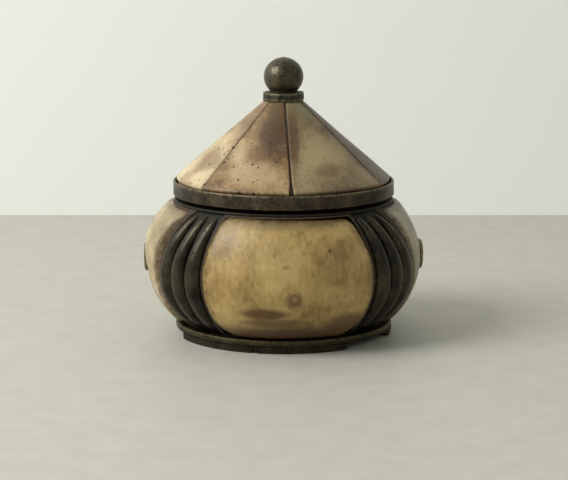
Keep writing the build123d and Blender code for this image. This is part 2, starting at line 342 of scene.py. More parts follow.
def bone_panel(side, turn, widths, seed, tilt, fullness):
    """One panel: tilt lowers its upper edge to one side, fullness swells its shoulder."""
    spin = Matrix.Rotation(math.radians(turn), 3, "Z")

    def surface(u, v, depth):
        level = panel_foot + (panel_top - panel_foot) * v
        to_end = min(level - panel_foot, panel_top - level)
        foot_round = roll_over(level - panel_foot, PANEL_FOOT_CORNER)
        top_round = roll_over(panel_top - level, PANEL_TOP_CORNER)
        width = half_width(widths, level) - foot_round - top_round
        x = (2 * u - 1) * width
        drop = tilt * (x / widths[2] + 1) / 2 * max(v - 0.5, 0) * 2
        level -= drop
        edge = min(width - abs(x), to_end)
        shoulder = max(v - SHOULDER_START, 0) / (1 - SHOULDER_START)
        lumps = hand_work(x, 0, level, seed, *PANEL_LUMPS) + fullness * math.sin(math.pi * shoulder)
        inset = depth if depth else roll_over(edge, PANEL_EDGE) - lumps
        radius = bulge_radius(inset, level)
        y = -math.sqrt(max(radius**2 - x**2, 1))
        return (*(spin @ Vector((x, y, level))), max(0, 1 - edge / GRIME_REACH))

    back_depth = bone_thickness - PANEL_BACK_GAP
    points, near = plate_points(lambda u, v: surface(u, v, 0), lambda u, v: surface(u, v, back_depth),
                                PANEL_COLUMNS, PANEL_ROWS)
    piece = finish_mesh(f"panel_{side}", points, plate_faces(PANEL_COLUMNS, PANEL_ROWS), near)
    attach(piece, "pot")
    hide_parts(f"bone_panel_{side}")
    return piece


panels = {
    "front": bone_panel("front", 0, FRONT_WIDTHS, 1, 0.7, 0),
    "right": bone_panel("right", 90, SIDE_WIDTHS, 2, 0.2, 0),
    "back": bone_panel("back", 180, FRONT_WIDTHS, 3, 0.4, 0),
    "left": bone_panel("left", 270, SIDE_WIDTHS, 4, 0.3, 0.9),
}
print("panels", {side: len(piece.data.polygons) for side, piece in panels.items()})

# %% [markdown]
# ## Bone wedges of the lid
# Seven thin plates meet at seams that the maker never measured, so each seam has its own gap and
# the seam that faces the front opens at its foot. Each plate was filed a little flatter than a
# true cone. Its foot overhangs the tray's rim, and a short skirt under it drops into the tray.

# %% Bone wedges
SEAM_ANGLES = (-49.4, 1.8, 59.6, 109.8, 160.0, 210.2, 260.4)
SEAM_GAPS = (0.1, 0.4, 0.25, 0.4, 0.25, 0.4, 0.3)
SEAM_FLARES = (0.0, 0.9, 0.3, 0.3, 0.0, 0.4, 0.2)
CONE_SLOPE = math.radians(41.4)
WEDGE_FLATNESS = 0.2
WEDGE_THICKNESS = 2.0
WEDGE_EDGE = 0.35
SKIRT_SHARE = 0.07
WEDGE_COLUMNS, WEDGE_ROWS = 70, 80
CONE_INSET, SKIRT_INSET = 0.35, 0.8
CONE_STAND = 0.5
COLLAR_OVERHANG = 0.22
FLARE_REACH = 2.2
WEDGE_LUMPS = (0.14, 0.05)
SKIRT_KINK = 3
cone_radius = rim_radius - CONE_INSET
skirt_radius = rim_radius - SKIRT_INSET
cone_foot = rim_top + CONE_STAND
cone_top = collar_low
cone_top_radius = collar_radius - COLLAR_OVERHANG
slope_length = (cone_radius - cone_top_radius) / math.cos(CONE_SLOPE)


def bone_wedge(number, start, stop, gaps, flares, seed):
    """One wedge between two seams; gaps and flares are those of its two seams."""
    middle, half = math.radians((start + stop) / 2), math.radians((stop - start) / 2)

    def surface(u, v, depth):
        along = max(v - SKIRT_SHARE, 0) / (1 - SKIRT_SHARE)
        radius = cone_radius + (cone_top_radius - cone_radius) * along
        level = cone_foot + (cone_top - cone_foot) * along
        if v < SKIRT_SHARE:
            level = wedge_foot + (cone_foot - wedge_foot) * v / SKIRT_SHARE
            outward = max(1 + SKIRT_KINK * (v / SKIRT_SHARE - 1), 0)
            radius = skirt_radius + (cone_radius - skirt_radius) * outward
        from_foot = along * slope_length
        opening = [gap / 2 + flare / 2 * math.exp(-from_foot / FLARE_REACH)
                   for gap, flare in zip(gaps, flares)]
        low_end, high_end = -half + opening[0] / radius, half - opening[1] / radius
        turn = low_end + (high_end - low_end) * u
        flat = WEDGE_FLATNESS * (1 - math.cos(half)) * (1 - (turn / half) ** 2)
        edge = min(turn - low_end, high_end - turn) * radius
        foot_edge = min(edge, max(from_foot, 0.2))
        inset = depth if depth else roll_over(min(edge, from_foot), WEDGE_EDGE)
        if not depth:
            inset -= hand_work(radius * math.sin(turn), 0, level, seed, *WEDGE_LUMPS)
        out = radius * (1 - flat) - inset * math.sin(CONE_SLOPE)
        level = max(level - inset * math.cos(CONE_SLOPE), wedge_foot)
        bearing = middle + turn
        near = max(0, 1 - foot_edge / GRIME_REACH)
        return (out * math.sin(bearing), -out * math.cos(bearing), level, near)

    points, near = plate_points(lambda u, v: surface(u, v, 0),
                                lambda u, v: surface(u, v, WEDGE_THICKNESS), WEDGE_COLUMNS, WEDGE_ROWS)
    piece = finish_mesh(f"wedge_{number}", points, plate_faces(WEDGE_COLUMNS, WEDGE_ROWS), near)
    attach(piece, "lid")
    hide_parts(f"bone_wedge_{number}")
    return piece


wedges = []
seam_count = len(SEAM_ANGLES)
for index in range(seam_count):
    after = (index + 1) % seam_count
    stop = SEAM_ANGLES[after] + (360 if after == 0 else 0)
    wedges.append(bone_wedge(index + 1, SEAM_ANGLES[index], stop, (SEAM_GAPS[index], SEAM_GAPS[after]),
                             (SEAM_FLARES[index], SEAM_FLARES[after]), 10 + index))
print("wedges", len(wedges), "slope length", round(slope_length, 1), "mm")

# %% [markdown]
# ## Crescent ribs
# Three ribs swell and taper in the room between a wide and a narrow panel. One corner's trio is
# modelled as three curved plates. Then a node tree mirrors it, turns the pair by half a turn and
# dents all twelve a little differently, as a hammer does, because a tree can repeat and vary
# a shape in one place, with its sizes as named inputs.

# %% One trio of ribs
RIB_COUNT = 3
RIB_END_SHARE, RIB_BELLY_SHARE = 0.5, 0.97
RIB_END_HEIGHT, RIB_BELLY_HEIGHT = 0.75, 1.9
RIB_TIP = 0.07
RIB_COLUMNS, RIB_ROWS = 26, 90
FRONT_MARGIN, SIDE_MARGIN = 0.5, 1.4
RIB_SINK, RIB_UNDERSIDE = 0.05, -0.15
rib_low, rib_high = span("rib_front_right_1")[0].z, span("rib_front_right_1")[1].z


def rib_point(index, u, v, lift):
    """A point of one rib: u goes across it, v goes up it, lift is 1 outside and 0 below."""
    level = rib_low + (rib_high - rib_low) * v
    radius = bulge_radius(plate_sink, level)
    near_panel = math.asin((half_width(FRONT_WIDTHS, level) + FRONT_MARGIN) / radius)
    far_panel = math.acos((half_width(SIDE_WIDTHS, level) + SIDE_MARGIN) / radius)
    pitch = (far_panel - near_panel) / RIB_COUNT
    swell = math.sin(math.pi * v) ** 0.7
    to_tip = min(v, 1 - v) / RIB_TIP
    tip = math.sqrt(max(1 - (1 - min(to_tip, 1)) ** 2, 0.0004))
    half = pitch / 2 * (RIB_END_SHARE + (RIB_BELLY_SHARE - RIB_END_SHARE) * swell) * tip
    height = (RIB_END_HEIGHT + (RIB_BELLY_HEIGHT - RIB_END_HEIGHT) * swell) * tip
    across = 2 * u - 1
    dome = max(1 - abs(across) ** 2.3, 0) ** 0.62
    bearing = near_panel + pitch * (index + 0.5) + half * across
    out = radius - RIB_SINK + lift * height * dome
    worn = max(0, 1 - abs(across) * 1.6) * (0.35 + 0.65 * abs(2 * v - 1) ** 3)
    return (out * math.sin(bearing), -out * math.cos(bearing), level, worn)


trio_points, trio_faces, trio_near = [], [], []
for index in range(RIB_COUNT):
    points, near = plate_points(lambda u, v, rib=index: rib_point(rib, u, v, 1),
                                lambda u, v, rib=index: rib_point(rib, u, v, RIB_UNDERSIDE),
                                RIB_COLUMNS, RIB_ROWS)
    trio_faces += plate_faces(RIB_COLUMNS, RIB_ROWS, len(trio_points))
    trio_points += points
    trio_near += near
ribs = finish_mesh("ribs", trio_points, trio_faces, trio_near)
print("one trio has", len(ribs.data.polygons), "faces")

# %% Node tree that repeats the ribs at the four corners


def new_tree(name, inputs):
    """An empty geometry tree with one geometry input and output, and named inputs."""
    tree = bpy.data.node_groups.new(name, "GeometryNodeTree")
    tree.interface.new_socket("Geometry", in_out="INPUT", socket_type="NodeSocketGeometry")
    tree.interface.new_socket("Geometry", in_out="OUTPUT", socket_type="NodeSocketGeometry")
    for label, kind, value in inputs:
        socket = tree.interface.new_socket(label, in_out="INPUT", socket_type=kind)
        if value is not None:
            socket.default_value = value
    return tree


def run_tree(piece, tree, values):
    """Runs a tree on a piece, keeps the result as a plain mesh and removes the modifier."""
    modifier = piece.modifiers.new(tree.name, "NODES")
    modifier.node_group = tree
    for item in tree.interface.items_tree:
        if item.in_out == "INPUT" and item.name in values:
            modifier[item.identifier] = values[item.name]
    graph = bpy.context.evaluated_depsgraph_get()
    result = bpy.data.meshes.new_from_object(piece.evaluated_get(graph))
    piece.modifiers.remove(modifier)
    piece.data = result
    work = bmesh.new()
    work.from_mesh(result)
    bmesh.ops.recalc_face_normals(work, faces=work.faces)
    work.to_mesh(result)
    work.free()
    result.shade_smooth()
    result.set_sharp_from_angle(angle=SHARP_ANGLE)


DENT_DEPTH = 0.08 * MM
DENTS_PER_METRE = 260.0
DENT_SEED = 5.0
rib_tree = new_tree("four_corners", [
    ("Dent depth", "NodeSocketFloat", DENT_DEPTH),
    ("Dents per metre", "NodeSocketFloat", DENTS_PER_METRE),
    ("Seed", "NodeSocketFloat", DENT_SEED),
    ("Finish", "NodeSocketMaterial", None),
])
start = add(rib_tree, "NodeGroupInput")
mirrored = add(rib_tree, "GeometryNodeTransform", {"Geometry": start.outputs["Geometry"],
                                                   "Scale": (-1, 1, 1)})
front_pair = add(rib_tree, "GeometryNodeJoinGeometry")
rib_tree.links.new(start.outputs["Geometry"], front_pair.inputs[0])
rib_tree.links.new(mirrored.outputs[0], front_pair.inputs[0])
back_pair = add(rib_tree, "GeometryNodeTransform", {"Geometry": front_pair.outputs[0],
                                                    "Rotation": (0, 0, math.pi)})
all_ribs = add(rib_tree, "GeometryNodeJoinGeometry")
rib_tree.links.new(front_pair.outputs[0], all_ribs.inputs[0])
rib_tree.links.new(back_pair.outputs[0], all_ribs.inputs[0])
place = add(rib_tree, "GeometryNodeInputPosition").outputs[0]
dents = add(rib_tree, "ShaderNodeTexNoise", {"Vector": place, "W": start.outputs["Seed"],
                                            "Scale": start.outputs["Dents per metre"], "Detail": 2.0},
            noise_dimensions="4D")
centred = add(rib_tree, "ShaderNodeMath", {0: dents.outputs["Fac"], 1: 0.5}, operation="SUBTRACT")
depth = add(rib_tree, "ShaderNodeMath", {0: centred.outputs[0], 1: start.outputs["Dent depth"]},
            operation="MULTIPLY")
normal = add(rib_tree, "GeometryNodeInputNormal").outputs[0]
push = add(rib_tree, "ShaderNodeVectorMath", {0: normal, "Scale": depth.outputs[0]}, operation="SCALE")
dented = add(rib_tree, "GeometryNodeSetPosition", {"Geometry": all_ribs.outputs[0],
                                                   "Offset": push.outputs[0]})
real_ribs = add(rib_tree, "GeometryNodeRealizeInstances", {"Geometry": dented.outputs[0]})
rib_finish = add(rib_tree, "GeometryNodeSetMaterial", {"Geometry": real_ribs.outputs[0],
                                                       "Material": start.outputs["Finish"]})
add(rib_tree, "NodeGroupOutput", {"Geometry": rib_finish.outputs[0]})
print("rib tree has", len(rib_tree.nodes), "nodes")

# %% [markdown]
# ## Feet
# The disc stands on five curved feet of equal length. Two lie side by side in front, then comes a
# bare stretch where feet are lost, then three more. A node tree sets them, so the pattern stays
# a rule: a count, a pitch and the one extra stretch.

# %% One foot and the tree that places it
FOOT_COUNT = 5
FRONT_FEET = 2
FOOT_START = math.radians(-69.4)
FOOT_PITCH = math.radians(51.4)
FOOT_SWEEP = math.radians(50.9)
LOST_ROOM = math.radians(37.2)
FOOT_WIDTH = 6.0
FOOT_EDGE = 0.35
FOOT_END_ROUND = 1.5
FOOT_END_RISE = 0.75
FOOT_COLUMNS, FOOT_ROWS = 60, 12


def foot_surface(u, v, outside):
    """A foot's outer or inner wall; u goes along the foot and v goes up it."""
    bearing = FOOT_START + FOOT_SWEEP * u
    ends = min(u, 1 - u) * FOOT_SWEEP * disc_radius
    rise = FOOT_END_RISE * roll_over(ends, FOOT_END_ROUND)
    level = rise + (foot_height - rise) * v
    edge = min(level, ends)
    inset = roll_over(min(edge, foot_height), FOOT_EDGE) if outside else FOOT_WIDTH
    radius = disc_radius - inset
    radius += hand_work(20 * u, level, 0, 31, 0.1, 0.05)
    return (radius * math.sin(bearing), -radius * math.cos(bearing), level, max(0, 1 - edge))


points, near = plate_points(lambda u, v: foot_surface(u, v, True), lambda u, v: foot_surface(u, v, False),
                            FOOT_COLUMNS, FOOT_ROWS)
feet = finish_mesh("feet", points, plate_faces(FOOT_COLUMNS, FOOT_ROWS), near)

foot_tree = new_tree("feet_round_a_disc", [
    ("Count", "NodeSocketInt", FOOT_COUNT),
    ("Pitch", "NodeSocketFloat", FOOT_PITCH),
    ("Feet before the bare stretch", "NodeSocketInt", FRONT_FEET),
    ("Bare stretch", "NodeSocketFloat", LOST_ROOM),
    ("Finish", "NodeSocketMaterial", None),
])
start = add(foot_tree, "NodeGroupInput")
places = add(foot_tree, "GeometryNodePoints", {"Count": start.outputs["Count"]})
number = add(foot_tree, "GeometryNodeInputIndex").outputs[0]
past = add(foot_tree, "FunctionNodeCompare",
           {2: number, 3: start.outputs["Feet before the bare stretch"]},
           data_type="INT", operation="GREATER_EQUAL")
extra = add(foot_tree, "ShaderNodeMath", {0: past.outputs[0], 1: start.outputs["Bare stretch"]},
            operation="MULTIPLY")
steps = add(foot_tree, "ShaderNodeMath", {0: number, 1: start.outputs["Pitch"]}, operation="MULTIPLY")
bearing = add(foot_tree, "ShaderNodeMath", {0: steps.outputs[0], 1: extra.outputs[0]}, operation="ADD")
turn = add(foot_tree, "ShaderNodeCombineXYZ", {"Z": bearing.outputs[0]})
set_feet = add(foot_tree, "GeometryNodeInstanceOnPoints", {
    "Points": places.outputs[0], "Instance": start.outputs["Geometry"], "Rotation": turn.outputs[0]})
real_feet = add(foot_tree, "GeometryNodeRealizeInstances", {"Geometry": set_feet.outputs[0]})
foot_finish = add(foot_tree, "GeometryNodeSetMaterial", {"Geometry": real_feet.outputs[0],
                                                         "Material": start.outputs["Finish"]})
add(foot_tree, "NodeGroupOutput", {"Geometry": foot_finish.outputs[0]})
print("foot tree has", len(foot_tree.nodes), "nodes")

# %% [markdown]
# ## Turned pieces
# Disc, plate, rim, collar, ball and studs are all turned: a profile goes round an axis. The rim
# was bent from strip and lapped at one place in front, and the collar was cut roughly, so each
# wobbles by its own amount. Corners are softened first, because no edge that hands have touched
# stays sharp.

# %% Turning helper
RUN_STEP = 0.7
EDGE_FADE = 0.8
LAP_ANGLE = math.radians(-12.5)
LAP_FADE = math.radians(14)


def softened(profile, radius, closed):
    """Profile with each inner corner cut by a small round, and long runs divided."""
    count = len(profile)
    corners = [Vector(point) for point in profile]
    points = []
    for i, corner in enumerate(corners):
        if not closed and i in (0, count - 1):
            points.append((corner, 0))
            continue
        before, after = corners[i - 1] - corner, corners[(i + 1) % count] - corner
        cut = min(radius, before.length / 2.2, after.length / 2.2)
        first, last = corner + before.normalized() * cut, corner + after.normalized() * cut
        points += [(first, 0.6), ((first + last + 2 * corner) / 4, 1), (last, 0.6)]
    divided = []
    for i in range(count_of_runs(points, closed)):
        (here, near_here), (there, near_there) = points[i], points[(i + 1) % len(points)]
        steps = max(1, round((there - here).length / RUN_STEP))
        for step in range(steps):
            share = step / steps
            fade = min(share, 1 - share) * (there - here).length
            near = max(near_here, near_there) * max(0, 1 - fade / EDGE_FADE)
            divided.append((here.lerp(there, share), near))
    if not closed:
        divided.append(points[-1])
    return divided


def count_of_runs(points, closed):
    """Number of runs between the points of a profile."""
    return len(points) if closed else len(points) - 1


def turned(name, profile, body, node, soft=0.2, closed=True, wobble=(0.08, 0.03), seed=0, steps=180,
           place=None, lap=0):
    """A piece turned about the pot's axis, or about the Z axis of place; lap is a strip end's step."""
    points, near, faces = [], [], []
    rounds = softened(profile, soft, closed)
    for i in range(steps):
        turn = 2 * math.pi * i / steps
        for (radius, level), edge in rounds:
            x, y = math.sin(turn), -math.cos(turn)
            out = max(radius + min(radius, 1) * hand_work(8 * x, 8 * y, level, seed, *wobble), 0)
            out += lap * max(0, 1 - (turn - LAP_ANGLE) % (2 * math.pi) / LAP_FADE)
            points.append(Vector((out * x, out * y, level)))
            near.append(edge)
    size = len(rounds)
    for i in range(steps):
        for j in range(count_of_runs(rounds, closed)):
            a, b = i * size, ((i + 1) % steps) * size
            faces.append([a + j, a + (j + 1) % size, b + (j + 1) % size, b + j])
    if place:
        points = [place @ point for point in points]
    piece = finish_mesh(name, points, faces, near)
    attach(piece, body)
    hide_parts(node)
    return piece


print("turning helper ready")

# %% Disc, neck plate, rim, collar, ball and studs
RIM_WALL = 0.6
ROD_RADIUS, ROD_HOLE = 1.5, 1.6
rim_inner = rim_radius - RIM_WALL
SEAT_WIDTH = 1.5
mouth_radius = span("lid_seat")[1].x - SEAT_WIDTH
turned_pieces = [
    turned("disc", [(0, foot_height), (disc_radius, foot_height), (disc_radius, disc_top), (0, disc_top)],
           "pot", "base_disc", soft=0.35, closed=False, wobble=(0.12, 0.06), seed=41),
    turned("neck", [(mouth_radius, plate_bottom), (neck_radius, plate_bottom), (neck_radius, neck_top),
                    (mouth_radius, neck_top)], "pot", "neck_plate", soft=0.15, seed=42),
    turned("rim", [(rim_inner, rim_low), (rim_radius, rim_low), (rim_radius, rim_top), (rim_inner, rim_top)],
           "lid", "lid_rim", soft=0.18, wobble=(0.16, 0.06), seed=43, steps=240, lap=0.14),
    turned("collar", [(ROD_HOLE, collar_low), (collar_radius - 0.1, collar_low),
                      (collar_radius, collar_low + 0.5),
                      (collar_radius - 0.12, collar_top), (ROD_HOLE, collar_top)],
           "lid", "finial_collar", soft=0.3, wobble=(0.12, 0.3), seed=44),
]
BALL_NECK = 3.4
BALL_STEPS = 26
ball_centre = ball_top - ball_radius
neck_end = math.acos(BALL_NECK / ball_radius)
peen_low = span("finial")[0].z
ball_profile = [(0, peen_low), (2.3, peen_low), (2.4, peen_low + 0.8),
                (ROD_RADIUS, peen_low + 0.9), (ROD_RADIUS, collar_top), (BALL_NECK, collar_top)]
for step in range(BALL_STEPS + 1):
    lift = -neck_end + (math.pi / 2 + neck_end) * step / BALL_STEPS
    ball_profile.append((ball_radius * math.cos(lift), ball_centre + (ball_radius - 0.15) * math.sin(lift)))
ball_profile[-1] = (0, ball_top)
turned_pieces.append(turned("ball", ball_profile, "lid", "finial", soft=0.05, closed=False,
                            wobble=(0.05, 0.03), seed=45, steps=96))
STUD_LEVEL, STUD_RADIUS, STUD_STAND = 19.3, 3.7, 0.88
stud_profile = [(0, belly_radius - 1.2), (STUD_RADIUS, belly_radius - 0.6),
                (STUD_RADIUS, belly_radius + 0.4), (STUD_RADIUS - 0.7, belly_radius + STUD_STAND - 0.15),
                (0, belly_radius + STUD_STAND)]
for side, turn in (("right", 90), ("left", -90)):
    lie_down = Matrix.Translation((0, 0, STUD_LEVEL)) @ Matrix.Rotation(math.radians(turn), 4, "Y")
    turned_pieces.append(turned(f"stud_{side}", stud_profile, "pot", f"side_stud_{side}", soft=0.25,
                                closed=False, wobble=(0.16, 0.1), seed=46 + turn, steps=72, place=lie_down))
print("turned", [piece.name for piece in turned_pieces])

# %% [markdown]
# ## Aged brass
# Spun and cast brass, never lacquered, that has darkened for decades: a brown-black patina, olive
# where it is thin, warm metal where hands have rubbed edges and rib tips. The patina is oxide over
# metal, so the finish is mostly metallic with a broken, half-matte gloss. Pits are 0.2 to 0.6 mm.

# %% Aged brass


def millimetres(tree, stretch=(1, 1, 1)):
    """Object coordinates in millimetres, stretched along each axis."""
    place = add(tree, "ShaderNodeTexCoord").outputs["Object"]
    scaled = add(tree, "ShaderNodeVectorMath", {0: place, 1: [s / MM for s in stretch]}, operation="MULTIPLY")
    return scaled.outputs[0]


def aged_brass(name, dark, mid, worn, wear, gloss, seed, grain=1.6):
    """Patina from dark to mid, worn metal near edges; wear is how much shows, grain how fine it is."""
    material, tree, shader = new_material(name)
    place = millimetres(tree)
    cloud = add(tree, "ShaderNodeTexNoise", {"Vector": place, "W": seed, "Scale": 0.22, "Detail": 6.0,
                                             "Roughness": 0.62}, noise_dimensions="4D")
    grit = add(tree, "ShaderNodeTexNoise", {"Vector": place, "W": seed + 4, "Scale": grain, "Detail": 4.0,
                                            "Roughness": 0.6}, noise_dimensions="4D")
    patina = add(tree, "ShaderNodeValToRGB", {"Fac": cloud.outputs["Fac"]})
    patina.color_ramp.elements[0].position, patina.color_ramp.elements[1].position = 0.36, 0.66
    patina.color_ramp.elements[0].color, patina.color_ramp.elements[1].color = colour(dark), colour(mid)
    near = add(tree, "ShaderNodeAttribute", attribute_name="near_edge").outputs["Fac"]
    broken = add(tree, "ShaderNodeMath", {0: near, 1: grit.outputs["Fac"]}, operation="MULTIPLY")
    shown = add(tree, "ShaderNodeMapRange", {"Value": broken.outputs[0], "From Min": 0.28, "From Max": 0.62,
                                             "To Min": 0.0, "To Max": wear})
    rubbed = add(tree, "ShaderNodeMix", {0: shown.outputs[0], 6: patina.outputs[0], 7: colour(worn)},
                 data_type="RGBA")
    speck = add(tree, "ShaderNodeMapRange", {"Value": grit.outputs["Fac"], "From Min": 0.3, "From Max": 0.7,
                                             "To Min": 0.55, "To Max": 1.35})
    toned = add(tree, "ShaderNodeVectorMath", {0: rubbed.outputs[2], "Scale": speck.outputs[0]},
                operation="SCALE")
    tree.links.new(toned.outputs[0], shader.inputs["Base Color"])
    matt = add(tree, "ShaderNodeMapRange", {"Value": grit.outputs["Fac"], "From Min": 0.3, "From Max": 0.7,
                                            "To Min": gloss - 0.1, "To Max": gloss + 0.16})
    tree.links.new(matt.outputs[0], shader.inputs["Roughness"])
    metal = add(tree, "ShaderNodeMapRange", {"Value": shown.outputs[0], "To Min": 0.72, "To Max": 1.0})
    tree.links.new(metal.outputs[0], shader.inputs["Metallic"])
    pits = add(tree, "ShaderNodeTexVoronoi", {"Vector": place, "Scale": 1.3, "Randomness": 1.0})
    pit_depth = add(tree, "ShaderNodeMapRange", {"Value": pits.outputs["Distance"], "From Min": 0.05,
                                                 "From Max": 0.3})
    relief = add(tree, "ShaderNodeMath", {0: pit_depth.outputs[0], 1: grit.outputs["Fac"]}, operation="ADD")
    bump = add(tree, "ShaderNodeBump", {"Height": relief.outputs[0], "Distance": 0.1 * MM, "Strength": 0.45})
    tree.links.new(bump.outputs[0], shader.inputs["Normal"])
    return material


brass = {
    "ribs": aged_brass("patinated_cast_brass", "#1d1a13", "#45402f", "#a0916c", 0.85, 0.38, 1.0),
    "plates": aged_brass("blackened_sheet_brass", "#12100b", "#2c2a20", "#4a4433", 0.4, 0.5, 2.0),
    "rim": aged_brass("browned_strip_brass", "#2a2216", "#54493a", "#8f8167", 0.6, 0.42, 3.0, 1.1),
    "foot": aged_brass("soiled_disc_brass", "#16130d", "#37321f", "#6e6242", 0.5, 0.5, 4.0),
    "ball": aged_brass("handled_ball_brass", "#26241b", "#3d392c", "#9a8d6e", 0.35, 0.3, 5.0, 3.4),
    "collar": aged_brass("rough_collar_brass", "#221f17", "#4a4636", "#8e846a", 0.7, 0.52, 6.0),
    "vessel": aged_brass("ink_stained_vessel_brass", "#1c1912", "#4b402a", "#7d6c48", 0.3, 0.5, 7.0),
}
print("brass finishes", list(brass))

# %% [markdown]
# ## Lac
# Lac is a tree resin, melted, blackened and pressed in warm. It sets dull and granular, and where
# it has shrunk and crumbled it shows brown.

# %% Lac
lac, tree, shader = new_material("pressed_dark_lac")
place = millimetres(tree)
crumb = add(tree, "ShaderNodeTexNoise", {"Vector": place, "Scale": 2.0, "Detail": 5.0, "Roughness": 0.75})
tone = add(tree, "ShaderNodeValToRGB", {"Fac": crumb.outputs["Fac"]})
tone.color_ramp.elements[0].position, tone.color_ramp.elements[1].position = 0.38, 0.68
tone.color_ramp.elements[0].color, tone.color_ramp.elements[1].color = colour("#17100a"), colour("#5b4327")
tree.links.new(tone.outputs[0], shader.inputs["Base Color"])
shader.inputs["Roughness"].default_value = 0.75
crumb_bump = add(tree, "ShaderNodeBump", {"Height": crumb.outputs["Fac"], "Distance": 0.3 * MM,
                                          "Strength": 0.8})
tree.links.new(crumb_bump.outputs[0], shader.inputs["Normal"])
print(lac.name)

# %% [markdown]
# ## Bone
# Sawn and filed cattle bone, waxed by handling. The eye reads three sizes in it: cloudy cream and
# ochre patches of 5 to 15 mm, fine grain that runs with the bone, and dark pores 0.2 to 0.5 mm
# wide. Brown stains, a few patches of painted shade and painted light, and the grime along each edge
# are laid over that, each at its own place. The lid wedges' tones also carry painted light and shade.

# %% Bone
PORE_SPACING = 1.15
PORE_WIDTH = 0.36
PORE_STRETCH = 0.6
TONE_PATCH_SHIFT = 1.8


def tone_patch_layer(tree, base, ragged, tone_patch):
    """Lays one soft-edged patch over a colour; the patch lists hold stains and also painted shade and painted
    light. Its place and its radii are in millimetres.
    """
    centre, radii, tint, strength = tone_patch
    local = add(tree, "ShaderNodeMapping", {"Vector": ragged, "Location": centre, "Scale": radii},
                vector_type="TEXTURE")
    spot = add(tree, "ShaderNodeTexGradient", {"Vector": local.outputs[0]}, gradient_type="SPHERICAL")
    soft = add(tree, "ShaderNodeMapRange", {"Value": spot.outputs["Fac"], "From Max": 0.6,
                                            "To Max": strength}, interpolation_type="SMOOTHSTEP")
    tone_patched = add(tree, "ShaderNodeMix", {0: soft.outputs[0], 6: base, 7: colour(tint)}, data_type="RGBA")
    return tone_patched.outputs[2]


def bone(name, tones, seed, grain, pores, grime, stains_and_painted_shading=()):
    """Bone in three tones; grain stretches along the plate, pores and grime are strengths, and the patches
    are stains with some painted shade and painted light.
    """
    material, tree, shader = new_material(name)
    place = millimetres(tree)
    cloud = add(tree, "ShaderNodeTexNoise", {"Vector": place, "W": seed, "Scale": 0.1, "Detail": 4.0,
                                             "Roughness": 0.55}, noise_dimensions="4D")
    streak = add(tree, "ShaderNodeTexNoise", {"Vector": millimetres(tree, grain), "W": seed + 2.0,
                                              "Scale": 1.0, "Detail": 5.0, "Roughness": 0.65},
                 noise_dimensions="4D")
    both = add(tree, "ShaderNodeMix", {0: 0.34, 2: cloud.outputs["Fac"], 3: streak.outputs["Fac"]})
    tone = add(tree, "ShaderNodeValToRGB", {"Fac": both.outputs[0]})
    tone.color_ramp.elements[0].position, tone.color_ramp.elements[1].position = 0.39, 0.61
    tone.color_ramp.elements[0].color, tone.color_ramp.elements[1].color = colour(tones[0]), colour(tones[2])
    tone.color_ramp.elements.new(0.5).color = colour(tones[1])
    surface = tone.outputs[0]

    blur = add(tree, "ShaderNodeTexNoise", {"Vector": place, "Scale": 0.55, "Detail": 4.0, "Roughness": 0.7})
    centred = add(tree, "ShaderNodeVectorMath", {0: blur.outputs["Color"], 1: (0.5, 0.5, 0.5)},
                  operation="SUBTRACT")
    shifted = add(tree, "ShaderNodeVectorMath", {0: centred.outputs[0], "Scale": TONE_PATCH_SHIFT},
                  operation="SCALE")
    ragged = add(tree, "ShaderNodeVectorMath", {0: place, 1: shifted.outputs[0]}, operation="ADD").outputs[0]
    # Soft patches over the bone: stains, and on the front and back panels and the front-left wedge also
    # painted shade and painted light.
    for tone_patch in stains_and_painted_shading:
        surface = tone_patch_layer(tree, surface, ragged, tone_patch)

    near = add(tree, "ShaderNodeAttribute", attribute_name="near_edge").outputs["Fac"]
    uneven = add(tree, "ShaderNodeMath", {0: near, 1: blur.outputs["Fac"]}, operation="MULTIPLY")
    dirty = add(tree, "ShaderNodeMapRange", {"Value": uneven.outputs[0], "From Min": 0.25, "From Max": 0.62,
                                             "To Max": grime})
    surface = add(tree, "ShaderNodeMix", {0: dirty.outputs[0], 6: surface, 7: colour("#3b2912")},
                  data_type="RGBA").outputs[2]

    pore_place = millimetres(tree, [PORE_STRETCH if g < 0.5 else 1 for g in grain])
    cells = add(tree, "ShaderNodeTexVoronoi", {"Vector": pore_place, "Scale": 1 / PORE_SPACING,
                                               "Randomness": 1.0})
    pick = add(tree, "ShaderNodeSeparateColor", {"Color": cells.outputs["Color"]})
    width = add(tree, "ShaderNodeMapRange", {"Value": pick.outputs[0], "From Min": 0.45, "From Max": 1.0,
                                             "To Min": 0.0, "To Max": PORE_WIDTH})
    inside = add(tree, "ShaderNodeMath", {0: width.outputs[0], 1: cells.outputs["Distance"]},
                 operation="SUBTRACT")
    patch = add(tree, "ShaderNodeMapRange", {"Value": blur.outputs["Fac"], "From Min": 0.4, "From Max": 0.6,
                                             "To Min": 0.15})
    hole = add(tree, "ShaderNodeMapRange", {"Value": inside.outputs[0], "From Max": 0.06, "To Max": pores})
    hole = add(tree, "ShaderNodeMath", {0: hole.outputs[0], 1: patch.outputs[0]}, operation="MULTIPLY",
               use_clamp=True).outputs[0]
    surface = add(tree, "ShaderNodeMix", {0: hole, 6: surface, 7: colour("#2e1d0e")},
                  data_type="RGBA").outputs[2]
    tree.links.new(surface, shader.inputs["Base Color"])

    wax = add(tree, "ShaderNodeMapRange", {"Value": streak.outputs["Fac"], "From Min": 0.3, "From Max": 0.7,
                                           "To Min": 0.36, "To Max": 0.56})
    tree.links.new(wax.outputs[0], shader.inputs["Roughness"])
    ridge = add(tree, "ShaderNodeMath", {0: streak.outputs["Fac"], 1: 0.35}, operation="MULTIPLY")
    relief = add(tree, "ShaderNodeMath", {0: ridge.outputs[0], 1: hole}, operation="SUBTRACT")
    bump = add(tree, "ShaderNodeBump", {"Height": relief.outputs[0], "Distance": 0.15 * MM, "Strength": 0.5})
    tree.links.new(bump.outputs[0], shader.inputs["Normal"])
    return material


